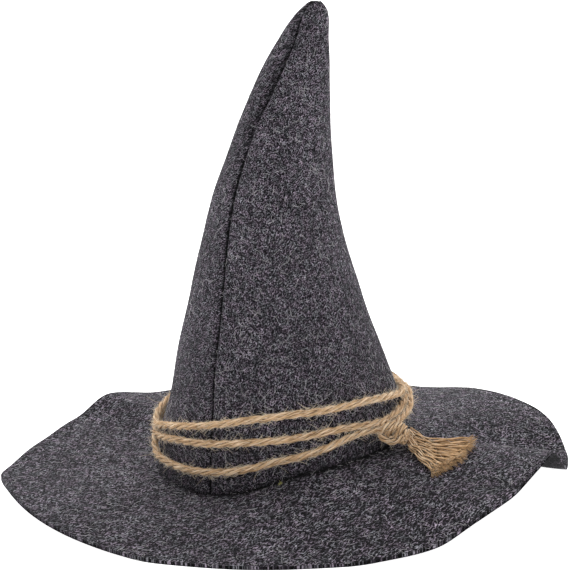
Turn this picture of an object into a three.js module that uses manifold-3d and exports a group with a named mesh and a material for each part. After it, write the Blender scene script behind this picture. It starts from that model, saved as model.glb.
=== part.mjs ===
// Pointed felt hat: a curved horn of two felt panels on a waved felt brim, bound with a jute cord.
// Millimetres, +Z up. The front of the hat looks along -Y and it stands on its brim at z = 0.
import * as THREE from 'three';
import { mergeVertices } from 'three/addons/utils/BufferGeometryUtils.js';
import Module from 'manifold-3d';

const wasm = await Module();
wasm.setup();

// A table is a list of rows whose columns are named once.
function table(names, rows) {
  return rows.map((row) => Object.fromEntries(names.map((name, i) => [name, row[i]])));
}

// Driving dimensions
const FELT = 2.5;              // thickness of the felt
const GAP = 0.35;              // clearance left between pieces that touch
const FOOT_GAP = 0.8;          // clearance under the crown's foot, whose facets bridge the brim's curve
const HEAD_RADIUS = 92.5;      // head hole in the brim, a 58 cm head
const SEAT_RADIUS = 94;        // the brim starts to fall or rise from here outwards
const HAT_HEIGHT = 364;        // tip of the crown above the surface it stands on
const CORD = 5.5;              // thickness of the jute cord
const CORD_SEAT = 1.15;        // from the crown's face to the cord's skin at its bends, less between them
const CORD_SIDES = 8;
const CORD_STEPS = 122;
const SEAM_SINK = 1.6;         // how far a felt edge rolls in at a seam of the crown
const SEAM_ROLL = 7;           // width of that rolled edge
const CLOSED_TIP = 0.4;        // the cavity's half width where it dies out in the tip
const STEP_UP = 0.5;           // share of the step by which the right panel's edge is raised
const NARROW = 0.12;           // most of a narrow panel's width or depth that a rolled edge may take
const PANEL_LEVELS = 23;
const PANEL_COLUMNS = 17;
const TIP_CROWDING = 1.3;      // over 1 puts the levels closer together towards the tip
const BRIM_STEP = 5;           // widest angle between two columns of the brim, in degrees
const BRIM_RINGS = [0, 0.05, 0.16, 0.32, 0.5, 0.67, 0.84, 1];
const BOX_MIDDLE = { x: 0.64, y: 3.18 };   // middle of the hat's box, seen from the crown's foot

// A felt edge at a seam: share of the roll's width from the edge, and share of its sink there
const ROLLED_EDGE = table(['off', 'sunk'], [
  [0, 1],
  [0.35, 0.42],
  [1, 0],
]);

// Where the knot sits on the crown
const KNOT_ANGLE = -36.5;
const KNOT_HEIGHT = 43.5;
const KNOT_REACH = 103.3;
const WRAP_RADIUS = 5.7;       // middle line of a turn of cord round the knot
const WRAP_CORD = 6;           // two cords side by side, pulled tight
const CORD_END_INSIDE = 4;     // where the cord's end stops inside the knot

// The knot's lumps: place along the crown's face, height from its middle, and half sizes
const KNOT_LUMPS = table(['along', 'up', 'deep', 'long', 'high'], [
  [0, 0, 7.4, 12, 7.4],
  [11.5, 1.5, 6, 5.6, 6],
]);
const KNOT_TURNS = table(['along', 'lean'], [
  [-4.2, 22],
  [4, -18],
]);

const FELT_LOOK = { color: 0x4a484e, roughness: 0.95, metalness: 0 };
const JUTE_LOOK = { color: 0xbf9b70, roughness: 0.9, metalness: 0 };

// The brim round the hat: height of its underside and reach at the rim, and its height at the crown.
// A height under zero is flattened on the surface, so the felt lies flat there.
const BRIM_FOLDS = table(['angle', 'rim', 'reach', 'seat'], [
  [-175, 1, 224.5, 0],
  [-166, 3, 220, 0],
  [-157, 5, 218, 0],
  [-144, 5.5, 218, 0],
  [-131, 4, 218, 0],
  [-121, 1.5, 217, 2.5],
  [-109, -2, 213, 7],
  [-97, -2, 212, 14],
  [-84, -1.5, 212, 21],
  [-72, 2, 216, 24],
  [-62, 6, 220, 26],
  [-55, 15, 221, 26.5],
  [-49, 21, 221, 27],
  [-42, 25, 220, 28],
  [-35, 30, 218, 27.5],
  [-27, 32.5, 217, 27],
  [-20, 28, 217, 27],
  [-14, 12, 219, 26.5],
  [-9, -3, 222, 26],
  [-2, -3, 224.5, 25.5],
  [5, 4, 225, 24.5],
  [12, 12, 223.5, 23.5],
  [22, 14, 221.5, 22],
  [32, 13, 220, 20],
  [42, 9, 220, 18],
  [52, 2, 220, 16],
  [62, -3, 219, 14],
  [85, -4, 218, 11],
  [110, -3, 218, 8],
  [123, 1, 218, 6],
  [129, 6, 218, 5],
  [136, 10, 218, 4.5],
  [143, 2, 217, 4],
  [150, -3, 214, 3],
  [160, -5, 210.5, 2],
  [168, -3, 213, 1],
  [178, -1, 218, 0.5],
]);

// The crown from its foot to its tip: middle line, half width, depth against width, where the front
// seam runs, and how far the right panel stands over the left one there. The horn leans left at its
// foot and bends over to the right at its tip.
const CROWN_SECTIONS = table(['height', 'middle', 'half', 'depth', 'seam', 'step'], [
  [0, 1, 97.5, 1, -127, 0],
  [25, 1, 96, 1, -127, 0],
  [45, 0.9, 93.8, 1, -127, 0],
  [70, 0, 87.2, 1, -128, 0],
  [100, -2.5, 78.6, 1, -128, 0],
  [140, -4.2, 67.1, 0.99, -128, 0],
  [180, -5, 56.3, 0.97, -130, 0],
  [220, -2.5, 47.2, 0.94, -132, 0.4],
  [250, 2.2, 40.6, 0.91, -131, 1.2],
  [275, 6.6, 34.8, 0.89, -127, 2],
  [300, 12.4, 29.2, 0.86, -117, 2.4],
  [322, 18.2, 23.6, 0.82, -111, 2.2],
  [340, 23.5, 17.7, 0.78, -112, 1.4],
  [352, 27.9, 12.6, 0.74, -122, 0.6],
  [360, 30.8, 7.2, 0.7, -130, 0],
  [364, 31.8, 2.6, 0.7, -130, 0],
]);
const BACK_SEAM = 50;

// Height of the cord on the crown, and how far it hangs loose off the felt. The angle runs clockwise
// from the right side, and each turn ends at 360 where the next one begins at 0. The lowest turn
// starts in the knot.
const CORD_TURNS = table(['angle', 'low', 'middle', 'top', 'loose'], [
  [0, null, 52.5, 59.5, 0],
  [12, null, 55, 62.3, 0],
  [24, null, 55.5, 66, 0],
  [36, null, 54.6, 69, 0],
  [48, 49.5, 55.5, 71, 0],
  [60, 48.5, 55.5, 71, 0],
  [72, 43.5, 55, 70.5, 0],
  [84, 39, 53, 70, 0],
  [96, 35, 51, 68, 0],
  [108, 29, 49, 65, 0],
  [120, 24.5, 46, 60.5, 0],
  [132, 21.5, 43, 56, 0],
  [144, 19.5, 40.5, 51.5, 0.3],
  [156, 18.3, 37, 47, 1.5],
  [167, 17.8, 33.5, 42, 3.2],
  [177, 21.5, 31.8, 38.8, 4.3],
  [186, 27.5, 36, 43.2, 4],
  [196, 34, 41.5, 49, 2.6],
  [210, 39.5, 47.2, 54.8, 0.8],
  [240, 42.5, 50.2, 58, 0],
  [270, 44, 52, 60, 0],
  [300, 46.5, 54.5, null, 0],
  [330, 49, 57, null, 0],
  [348, 50.5, 57.2, null, 0],
]);

// The cord's last stretch crosses over the turns behind on the right and goes down into the knot.
const CORD_END = table(['angle', 'height', 'lift'], [
  [284, 61.2, 0.3],
  [297, 62, 1.2],
  [310, 61.5, 3],
  [320, 59.5, 4.9],
  [330, 56.4, 5.9],
  [340, 53.8, 5.3],
  [348, 53, 5.3],
  [354, 53.9, 5.2],
  [360, 54.8, 5.2],
  [367, 51.8, 5.3],
  [374, 47.5, 4.4],
  [381, 44.6, 4.4],
  [388, 43.6, 5],
]);

// The tassel's locks lie between three guide lines, from the knot out over the brim.
const TASSEL_GUIDES = table(['upper', 'middle', 'lower'], [
  [[97, -46, 40], [93, -53, 38.5], [92, -56, 37]],
  [[103, -52, 37], [98, -64, 35], [95, -68, 34.6]],
  [[111, -59, 35.6], [105, -76, 34.4], [99, -87, 33.8]],
  [[123, -61, 35.6], [114, -88, 34.2], [104, -104, 32.6]],
  [[134, -61, 36.2], [124, -95, 34.4], [107, -113, 31.8]],
  [[144, -66, 36.8], [133, -95, 35.2], [110, -121, 30.8]],
]);
const TASSEL_LOCKS = 9;
const TASSEL_STEPS = 7;
const LOCK_SIDES = 6;
const LOCK_RADIUS = 3.1;
const LOCK_UNEVEN = 0.18;      // share of its last stretch by which a lock ends early or late
const TASSEL_HEAD = { at: [95.5, -51.5, 37.8], half: [5.4, 6.2, 5] };

const radians = (degrees) => degrees * Math.PI / 180;
const mix = (a, b, t) => a + (b - a) * t;

// Smooth curve through neighbouring rows: value at `key` in the span from row b to row c.
function smooth(a, b, c, d, key, column) {
  const span = c.at - b.at;
  const t = (key - b.at) / span;
  const slopeB = (c[column] - a[column]) / (c.at - a.at) * span;
  const slopeC = (d[column] - b[column]) / (d.at - b.at) * span;
  const rise = t * t * (3 - 2 * t);
  return mix(b[column], c[column], rise)
    + t * (1 - t) * (1 - t) * slopeB
    - t * t * (1 - t) * slopeC;
}

// Value of a column of the brim's table at an angle, round and round.
function brimValue(column, angle) {
  const rows = BRIM_FOLDS;
  const first = rows[0].angle;
  const key = first + (((angle - first) % 360) + 360) % 360;
  let i = rows.length - 1;
  while (rows[i].angle > key) i -= 1;
  const turned = (k) => {
    const turns = Math.floor(k / rows.length);
    const row = rows[k - turns * rows.length];
    return { ...row, at: row.angle + 360 * turns };
  };
  return smooth(turned(i - 1), turned(i), turned(i + 1), turned(i + 2), key, column);
}

// Value of a column of the crown's table at a height.
function crownValue(column, height) {
  const rows = CROWN_SECTIONS;
  const last = rows.length - 1;
  const key = Math.min(Math.max(height, rows[0].height), rows[last].height);
  let i = 0;
  while (i < last - 1 && rows[i + 1].height <= key) i += 1;
  const row = (k) => {
    const kept = rows[Math.min(Math.max(k, 0), last)];
    return { ...kept, at: kept.height };
  };
  return smooth(row(i - 1), row(i), row(i + 1), row(i + 2), key, column);
}

// Height of the brim's underside at a plan position.
function brimUnderside(angle, radius) {
  const reach = brimValue('reach', angle);
  const out = Math.max(0, (radius - SEAT_RADIUS) / (reach - SEAT_RADIUS));
  return Math.max(0, mix(brimValue('seat', angle), brimValue('rim', angle), out));
}

// Height of its upper side: the felt keeps its thickness where it slopes.
function brimTop(angle, radius) {
  const step = 2;
  const turn = step / radius * 180 / Math.PI;
  const across = (brimUnderside(angle, radius + step) - brimUnderside(angle, radius - step)) / (2 * step);
  const along = (brimUnderside(angle + turn, radius) - brimUnderside(angle - turn, radius)) / (2 * step);
  return brimUnderside(angle, radius) + FELT * Math.sqrt(1 + across * across + along * along);
}

function planPoint(angle, radius, height) {
  return new THREE.Vector3(radius * Math.cos(radians(angle)), radius * Math.sin(radians(angle)), height);
}

// A closed wall between two grids of points, grid[row][column]; `round` joins last column to first.
function wallBetween(outer, inner, round) {
  const rows = outer.length;
  const columns = outer[0].length;
  const positions = [];
  for (const grid of [outer, inner]) {
    for (const row of grid) {
      for (const point of row) positions.push(point.x, point.y, point.z);
    }
  }
  const indices = [];
  const at = (side, row, column) => (side * rows + row) * columns + (column % columns);
  const quad = (a, b, c, d) => indices.push(a, b, c, a, c, d);
  const spans = round ? columns : columns - 1;
  for (let j = 0; j < spans; j += 1) {
    for (let i = 0; i < rows - 1; i += 1) {
      quad(at(0, i, j), at(0, i, j + 1), at(0, i + 1, j + 1), at(0, i + 1, j));
      quad(at(1, i, j), at(1, i + 1, j), at(1, i + 1, j + 1), at(1, i, j + 1));
    }
    quad(at(1, 0, j), at(1, 0, j + 1), at(0, 0, j + 1), at(0, 0, j));
    quad(at(0, rows - 1, j), at(0, rows - 1, j + 1), at(1, rows - 1, j + 1), at(1, rows - 1, j));
  }
  if (!round) {
    const last = columns - 1;
    for (let i = 0; i < rows - 1; i += 1) {
      quad(at(1, i, 0), at(0, i, 0), at(0, i + 1, 0), at(1, i + 1, 0));
      quad(at(0, i, last), at(1, i, last), at(1, i + 1, last), at(0, i + 1, last));
    }
  }
  const geometry = new THREE.BufferGeometry();
  geometry.setAttribute('position', new THREE.Float32BufferAttribute(positions, 3));
  geometry.setIndex(indices);
  return geometry;
}

// The brim: rings from the head hole out to the rim, closer together near the crown.
function brimGeometry() {
  const angles = [];
  BRIM_FOLDS.forEach((row, i) => {
    const next = BRIM_FOLDS[i + 1]?.angle ?? BRIM_FOLDS[0].angle + 360;
    const parts = Math.ceil((next - row.angle) / BRIM_STEP);
    for (let k = 0; k < parts; k += 1) angles.push(mix(row.angle, next, k / parts));
  });
  const grid = (heightAt) => BRIM_RINGS.map((ring) => angles.map((angle) => {
    const radius = mix(HEAD_RADIUS, brimValue('reach', angle), ring);
    return planPoint(angle, radius, heightAt(angle, radius));
  }));
  return wallBetween(grid(brimUnderside), grid(brimTop), true);
}

// A point on the crown, `inset` inside its outer face; `level` runs from 0 at the foot to 1 at the tip.
function crownPoint(angle, level, inset) {
  const foot = brimTop(angle, crownValue('half', 15) - inset) + FOOT_GAP;
  const height = mix(foot, HAT_HEIGHT - inset, level);
  const half = Math.max(crownValue('half', height) - inset, CLOSED_TIP);
  const deep = Math.max(crownValue('half', height) * crownValue('depth', height) - inset, CLOSED_TIP);
  return new THREE.Vector3(
    crownValue('middle', height) + half * Math.cos(radians(angle)),
    deep * Math.sin(radians(angle)),
    height,
  );
}

// One felt panel of the crown, from one seam round to the other.
function panelGeometry(startsAtFrontSeam) {
  const levels = Array.from(
    { length: PANEL_LEVELS + 1 },
    (_, k) => 1 - (1 - k / PANEL_LEVELS) ** TIP_CROWDING,
  );
  const grid = (thickness) => levels.map((level) => {
    const height = level * HAT_HEIGHT;
    const front = crownValue('seam', height);
    const from = startsAtFrontSeam ? front : BACK_SEAM;
    const to = startsAtFrontSeam ? BACK_SEAM : front + 360;
    const degreesPerMm = 180 / Math.PI / crownValue('half', height);
    const clear = GAP / 2 * degreesPerMm;
    const roll = Math.min(SEAM_ROLL * degreesPerMm, (to - from) * NARROW);
    const step = crownValue('step', height);
    const frontSink = startsAtFrontSeam ? SEAM_SINK - step * STEP_UP : SEAM_SINK + step;
    const [firstSink, lastSink] = startsAtFrontSeam ? [frontSink, SEAM_SINK] : [SEAM_SINK, frontSink];
    const middle = PANEL_COLUMNS - 2 * (ROLLED_EDGE.length - 1);
    const columns = [
      ...ROLLED_EDGE.map(({ off, sunk }) => ({ angle: from + clear + off * roll, sink: firstSink * sunk })),
      ...Array.from({ length: middle - 1 }, (_, k) => ({
        angle: mix(from + clear + roll, to - clear - roll, (k + 1) / middle),
        sink: 0,
      })),
      ...ROLLED_EDGE.toReversed().map(({ off, sunk }) => ({
        angle: to - clear - off * roll,
        sink: lastSink * sunk,
      })),
    ];
    const most = crownValue('half', height) * NARROW;
    return columns.map(({ angle, sink }) => crownPoint(angle, level, thickness + Math.min(sink, most)));
  });
  return wallBetween(grid(0), grid(FELT), false);
}

// A polygon section for a cord or a lock of yarn.
function sectionShape(radius, sides) {
  return new THREE.Shape(Array.from({ length: sides }, (_, k) => new THREE.Vector2(
    radius * Math.cos(2 * Math.PI * k / sides),
    radius * Math.sin(2 * Math.PI * k / sides),
  )));
}

function tube(points, radius, sides, steps) {
  const path = new THREE.CatmullRomCurve3(points, false, 'centripetal');
  path.arcLengthDivisions = 8 * steps;
  return closedGeometry(new THREE.ExtrudeGeometry(sectionShape(radius, sides), {
    steps,
    bevelEnabled: false,
    extrudePath: path,
  }));
}

// Keeps only positions and joins the points that share a place.
function closedGeometry(geometry) {
  geometry.deleteAttribute('normal');
  geometry.deleteAttribute('uv');
  return mergeVertices(geometry, 1e-4);
}

function toSolid(geometry) {
  return new wasm.Manifold(new wasm.Mesh({
    numProp: 3,
    vertProperties: new Float32Array(geometry.attributes.position.array),
    triVerts: new Uint32Array(geometry.index.array),
  }));
}

function toGeometry(solid) {
  const mesh = solid.getMesh();
  const geometry = new THREE.BufferGeometry();
  geometry.setAttribute('position', new THREE.Float32BufferAttribute(mesh.vertProperties, 3));
  geometry.setIndex(Array.from(mesh.triVerts));
  return geometry;
}

function ellipsoid(half, at, turn = 0, wide = 12, high = 8) {
  const geometry = new THREE.SphereGeometry(1, wide, high);
  geometry.scale(...half).rotateZ(radians(turn)).translate(...at);
  return toSolid(closedGeometry(geometry));
}

// The cord's middle line on the crown, at a clockwise angle and a height.
function cordPoint(angle, height, lift) {
  const away = CORD / 2 + CORD_SEAT + lift;
  const turn = radians(-angle);
  return new THREE.Vector3(
    crownValue('middle', height) + (crownValue('half', height) + away) * Math.cos(turn),
    (crownValue('half', height) * crownValue('depth', height) + away) * Math.sin(turn),
    height,
  );
}

function cordRoute() {
  const turns = ['low', 'middle', 'top'].flatMap((turn) => CORD_TURNS
    .filter((row) => row[turn] !== null)
    .map((row) => cordPoint(row.angle, row[turn], row.loose)));
  const end = CORD_END.map((row) => cordPoint(row.angle, row.height, row.lift));
  return [knotFrame(0, 0), ...turns, ...end, knotFrame(CORD_END_INSIDE, 0)];
}

// A place in the knot: `along` the crown's face to the right, and `up`.
function knotFrame(along, up) {
  const turn = radians(KNOT_ANGLE);
  const place = planPoint(KNOT_ANGLE, KNOT_REACH, KNOT_HEIGHT + up);
  return place.add(new THREE.Vector3(-Math.sin(turn), Math.cos(turn), 0).multiplyScalar(along));
}

// One turn of cord round the knot, leaning by `lean` degrees, `grow` mm thicker all round.
function wrap({ along, lean }, grow) {
  const geometry = new THREE.TorusGeometry(WRAP_RADIUS, WRAP_CORD / 2 + grow, 7, 14);
  geometry.rotateX(radians(90 + lean));
  geometry.rotateZ(radians(KNOT_ANGLE));
  geometry.translate(...knotFrame(along, 0).toArray());
  return toSolid(closedGeometry(geometry));
}

// The knot: its lumps and the turns round it as one body, `grow` mm thicker all round.
function knotSolid(grow) {
  const lumps = KNOT_LUMPS.map(({ along, up, deep, long, high }) => ellipsoid(
    [deep + grow, long + grow, high + grow],
    knotFrame(along, up).toArray(),
    KNOT_ANGLE,
  ));
  const turns = KNOT_TURNS.map((turn) => wrap(turn, grow));
  return [...lumps, ...turns].reduce((knot, part) => knot.add(part));
}

function cordGeometry() {
  const cord = toSolid(tube(cordRoute(), CORD / 2, CORD_SIDES, CORD_STEPS));
  return toGeometry(cord.subtract(knotSolid(GAP)));
}

// One lock of the tassel, at `part` of the way from the upper guide over the middle to the lower.
function lock(part) {
  const points = TASSEL_GUIDES.map((row) => {
    const [from, to, t] = part < 0.5
      ? [row.upper, row.middle, part * 2]
      : [row.middle, row.lower, part * 2 - 1];
    return new THREE.Vector3(...from).lerp(new THREE.Vector3(...to), t);
  });
  const last = points.length - 1;
  const end = new THREE.Vector3().subVectors(points[last], points[last - 1]);
  points[last].addScaledVector(end, LOCK_UNEVEN * Math.sin(TASSEL_LOCKS * part));
  return toSolid(tube(points, LOCK_RADIUS, LOCK_SIDES, TASSEL_STEPS));
}

// The tassel: a head that holds all the locks, then the locks fanned over the brim.
function tasselGeometry() {
  let tassel = ellipsoid(TASSEL_HEAD.half, TASSEL_HEAD.at, KNOT_ANGLE, 10, 6);
  for (let k = 0; k < TASSEL_LOCKS; k += 1) tassel = tassel.add(lock(k / (TASSEL_LOCKS - 1)));
  return toGeometry(tassel.subtract(knotSolid(GAP)));
}

function piece(name, geometry, look) {
  const mesh = new THREE.Mesh(geometry, new THREE.MeshStandardMaterial(look));
  mesh.name = name;
  geometry.computeVertexNormals();
  return mesh;
}

const hat = new THREE.Group();
hat.position.set(-BOX_MIDDLE.x, -BOX_MIDDLE.y, 0);
hat.add(piece('brim', brimGeometry(), FELT_LOOK));
hat.add(piece('crown_right_panel', panelGeometry(true), FELT_LOOK));
hat.add(piece('crown_left_panel', panelGeometry(false), FELT_LOOK));
hat.add(piece('cord_band', cordGeometry(), JUTE_LOOK));
hat.add(piece('knot', toGeometry(knotSolid(0)), JUTE_LOOK));
hat.add(piece('tassel', tasselGeometry(), JUTE_LOOK));

export default hat;
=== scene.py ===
# %% [markdown]
# A pointed hat of grey wool felt. Two curved felt panels are sewn into a horn, the horn stands on a
# waved felt brim, and a jute cord goes round it three times and ends in a knot and a tassel. The CAD
# frame holds the true shape of each piece. Here every piece gets its real surface: heathered felt with
# loose fibres, twisted plies in the cord, yarns in the tassel, and thread in the seams.

# %% The frame
import math
import random

import bmesh
import bpy
import numpy as np
from mathutils import Matrix, Quaternion, Vector, noise
from mathutils.bvhtree import BVHTree


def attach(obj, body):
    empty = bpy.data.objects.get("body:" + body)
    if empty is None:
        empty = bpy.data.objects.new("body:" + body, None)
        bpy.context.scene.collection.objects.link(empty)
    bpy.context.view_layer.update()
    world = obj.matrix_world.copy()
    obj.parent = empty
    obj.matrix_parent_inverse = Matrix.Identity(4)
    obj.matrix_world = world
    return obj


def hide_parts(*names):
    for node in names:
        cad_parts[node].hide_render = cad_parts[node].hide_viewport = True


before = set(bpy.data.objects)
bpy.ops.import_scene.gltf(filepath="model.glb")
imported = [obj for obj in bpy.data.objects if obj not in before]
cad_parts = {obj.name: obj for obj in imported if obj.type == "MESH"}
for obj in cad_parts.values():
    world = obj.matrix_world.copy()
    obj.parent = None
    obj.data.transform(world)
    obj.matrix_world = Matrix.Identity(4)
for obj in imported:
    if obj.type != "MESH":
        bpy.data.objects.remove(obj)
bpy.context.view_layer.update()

MM = 0.001
UP = Vector((0, 0, 1))
scene = bpy.context.scene

# %% [markdown]
# The camera looks slightly down, from far enough away that the crown doesn't lean, through a long lens.
# `to_track_quat` turns it to its aim, so both can be read as places round the hat.

# %% Camera
PICTURE = (569, 572)
SENSOR = 36.0
FOCAL_PIXELS = 1669.0
CAMERA_AT = Vector((2.66, -1264.6, 459.6)) * MM
CAMERA_AIM = Vector((2.65, -3.2, 145.1)) * MM
CAMERA_ROLL = math.radians(-1.5)


def new_object(name, data):
    """An object at the origin that holds the data."""
    made = bpy.data.objects.new(name, data)
    scene.collection.objects.link(made)
    return made


def point_camera():
    """Makes the camera and turns it to its aim."""
    camera = new_object("camera", bpy.data.cameras.new("camera"))
    camera.data.sensor_width = SENSOR
    camera.data.lens = FOCAL_PIXELS / max(PICTURE) * SENSOR
    camera.data.clip_end = 50
    camera.location = CAMERA_AT
    camera.rotation_mode = "QUATERNION"
    aim = (CAMERA_AIM - CAMERA_AT).to_track_quat("-Z", "Y")
    camera.rotation_quaternion = aim @ Matrix.Rotation(CAMERA_ROLL, 3, "Z").to_quaternion()
    return camera


scene.camera = point_camera()
print("lens", round(scene.camera.data.lens, 2), "mm")

# %% [markdown]
# Felt has no shine, so it only needs soft light. A sun lamp with a large angle stands high behind the hat,
# which leaves the front of the brim a little darker than its sides. The floor glows like a light table, so
# that it stays white in the shadow too. The Standard view keeps white white and dark felt dark.

# %% Light and floor
SKY = {"Color": (1, 1, 1, 1), "Strength": 0.64}
KEY_STRENGTH = 2.85
KEY_FROM = Vector((-0.12, 1.0, 1.0))
KEY_SOFTNESS = math.radians(80)
FLOOR_SIZE = 30.0
FLOOR_LOOK = {
    "Base Color": (0.85, 0.85, 0.85, 1),
    "Roughness": 1.0,
    "Specular IOR Level": 0.0,
    "Emission Color": (1, 1, 1, 1),
    "Emission Strength": 1.0,
}


def light_studio():
    """A white sky and one large soft lamp high behind."""
    scene.world = bpy.data.worlds.new("studio")
    scene.world.use_nodes = True
    set_sockets(scene.world.node_tree.nodes["Background"], SKY)
    lamp = bpy.data.lights.new("key", "SUN")
    lamp.energy = KEY_STRENGTH
    lamp.angle = KEY_SOFTNESS
    holder = new_object("key", lamp)
    holder.rotation_mode = "QUATERNION"
    holder.rotation_quaternion = (-KEY_FROM).to_track_quat("-Z", "Y")
    holder.location = KEY_FROM
    scene.view_settings.view_transform = "Standard"


def new_material(name):
    """A material, its node tree and its shader."""
    material = bpy.data.materials.new(name)
    material.use_nodes = True
    return material, material.node_tree, material.node_tree.nodes["Principled BSDF"]


def set_sockets(shader, values):
    """Sets a shader's own values by their names."""
    for name, value in values.items():
        shader.inputs[name].default_value = value


def lay_floor():
    """A wide pale floor under the hat."""
    bm = bmesh.new()
    bmesh.ops.create_grid(bm, x_segments=1, y_segments=1, size=FLOOR_SIZE / 2)
    mesh = bpy.data.meshes.new("floor")
    bm.to_mesh(mesh)
    bm.free()
    floor = new_object("floor", mesh)
    paint, _, shader = new_material("floor")
    set_sockets(shader, FLOOR_LOOK)
    mesh.materials.append(paint)


light_studio()
lay_floor()
print("floor", FLOOR_SIZE, "m wide")

# %% [markdown]
# Each of these helpers adds a node and plugs things into it, so that the felt and the jute below can be
# read as recipes.

# %% Node helpers


def plug(tree, socket, value):
    """Links an output to a socket, or sets the socket's own value."""
    if isinstance(value, bpy.types.NodeSocket):
        tree.links.new(value, socket)
    else:
        socket.default_value = value


def calculate(tree, operation, first, second=0.0):
    """One sum, product or comparison of two values."""
    made = tree.nodes.new("ShaderNodeMath")
    made.operation = operation
    plug(tree, made.inputs[0], first)
    plug(tree, made.inputs[1], second)
    return made.outputs[0]


def between(tree, value, low, high, to_low=0.0, to_high=1.0):
    """A value taken smoothly from one range to another."""
    made = tree.nodes.new("ShaderNodeMapRange")
    made.interpolation_type = "SMOOTHSTEP"
    plug(tree, made.inputs["Value"], value)
    limits = zip(("From Min", "From Max", "To Min", "To Max"), (low, high, to_low, to_high))
    for name, limit in limits:
        plug(tree, made.inputs[name], limit)
    return made.outputs["Result"]


def blend(tree, share, first, second, how="MIX"):
    """Two colours blended."""
    made = tree.nodes.new("ShaderNodeMix")
    made.data_type = "RGBA"
    made.blend_type = how
    plug(tree, made.inputs[0], share)
    plug(tree, made.inputs[6], first)
    plug(tree, made.inputs[7], second)
    return made.outputs[2]


def laid(tree, place, size, turn=0.0):
    """Coordinates turned by an angle, then divided by a size in each direction."""
    made = tree.nodes.new("ShaderNodeMapping")
    made.vector_type = "TEXTURE"
    plug(tree, made.inputs["Vector"], place)
    made.inputs["Rotation"].default_value = (0, 0, math.radians(turn))
    made.inputs["Scale"].default_value = size
    return made.outputs[0]


def cloudy(tree, place, detail, flat=False):
    """Noise: its value and its colour."""
    made = tree.nodes.new("ShaderNodeTexNoise")
    made.noise_dimensions = "2D" if flat else "3D"
    plug(tree, made.inputs["Vector"], place)
    made.inputs["Scale"].default_value = 1.0
    made.inputs["Detail"].default_value = detail
    return made.outputs[0], made.outputs[1]


def stored(tree, name, output="Fac"):
    """What a piece's mesh stores under that name."""
    made = tree.nodes.new("ShaderNodeAttribute")
    made.attribute_name = name
    return made.outputs[output]


def raise_surface(tree, shader, height, depth):
    """Bump from a height."""
    made = tree.nodes.new("ShaderNodeBump")
    made.inputs["Strength"].default_value = 1.0
    made.inputs["Distance"].default_value = depth
    plug(tree, made.inputs["Height"], height)
    tree.links.new(made.outputs[0], shader.inputs["Normal"])


print("node helpers ready")

# %% [markdown]
# Wool felt is a mat of short fibres that lie in every direction, dyed in several greys before they are
# felted. That is why it looks heathered from near and plain from far away. Each layer below stretches a
# noise along one direction, which gives short streaks; several directions over each other give the mat. A
# fine slanted grain, small tufts and wide patches then make it lighter and darker. All of them follow
# `lay`, a place on the flat felt that each mesh stores, so they lie in the sheet.

# %% Felt
FELT_DEEP = (0.0013, 0.0012, 0.0018, 1)
FELT_GREY = (0.0168, 0.0149, 0.0198, 1)
FELT_PALE = (0.31, 0.285, 0.33, 1)
FELT_PLUM = (1.08, 0.98, 1.05, 1)
FELT_MOSS = (0.95, 1.02, 0.98, 1)
FIBRE_LONG = 4.6 * MM
FIBRE_WIDE = 0.5 * MM
GRAIN_SIZE = (1.3 * MM, 0.6 * MM, 1)
GRAIN_TURN = 42
PALE_FIBRE_TURNS = (16, 30, 42, 58, 84, 150)
DARK_FIBRE_TURNS = (22, 36, 50, 132)
PALE_FIBRES = (0.62, 0.76)
DARK_FIBRES = (0.54, 0.68)
PALE_SHARE = 0.62
DARK_SHARE = 0.9
CURL_SIZE = 14 * MM
CURL_REACH = 4 * MM
TINT_SIZE = 5 * MM
TINT_TURNS = (0.35, 0.65)
TUFTS = (4 * MM, 30)
PATCHES = (26 * MM, 0)
GRAIN_SHADES = (0.41, 0.59, 0.0, 2.34)
TUFT_SHADES = (0.3, 0.7, 0.76, 1.26)
PATCH_SHADES = (0.3, 0.7, 0.86, 1.14)
PAINTED_LIGHT_SHADES = (-1.0, 1.0, 0.06, 1.94)
GRAIN_RAISED = 1.5
FELT_RELIEF = 0.25 * MM
SHINE = ("Roughness", "Specular IOR Level", "Sheen Weight", "Sheen Roughness", "Sheen Tint")
FELT_SHINE = dict(zip(SHINE, (0.95, 0.12, 0.04, 0.5, (0.85, 0.85, 0.9, 1))))


def fibre_mat(tree, place, turns, limits):
    """Streaks in several directions: 1 on a fibre and 0 between."""
    together = None
    for turn in turns:
        streak, _ = cloudy(tree, laid(tree, place, (FIBRE_LONG, FIBRE_WIDE, 1), turn), 1.0, True)
        streak = between(tree, streak, *limits)
        together = streak if together is None else calculate(tree, "MAXIMUM", together, streak)
    return together


def curl(tree, place):
    """Coordinates pushed about, so that the fibres bend."""
    _, push = cloudy(tree, laid(tree, place, (CURL_SIZE, CURL_SIZE, 1)), 1.0, True)
    shift = tree.nodes.new("ShaderNodeVectorMath")
    shift.operation = "MULTIPLY_ADD"
    plug(tree, shift.inputs[0], push)
    shift.inputs[1].default_value = (CURL_REACH, CURL_REACH, 0)
    plug(tree, shift.inputs[2], place)
    return shift.outputs[0]


def spots(tree, lay, size, turn=0.0):
    """Soft spots of one size."""
    return cloudy(tree, laid(tree, lay, (size, size, 1), turn), 2.0, True)[0]


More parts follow.
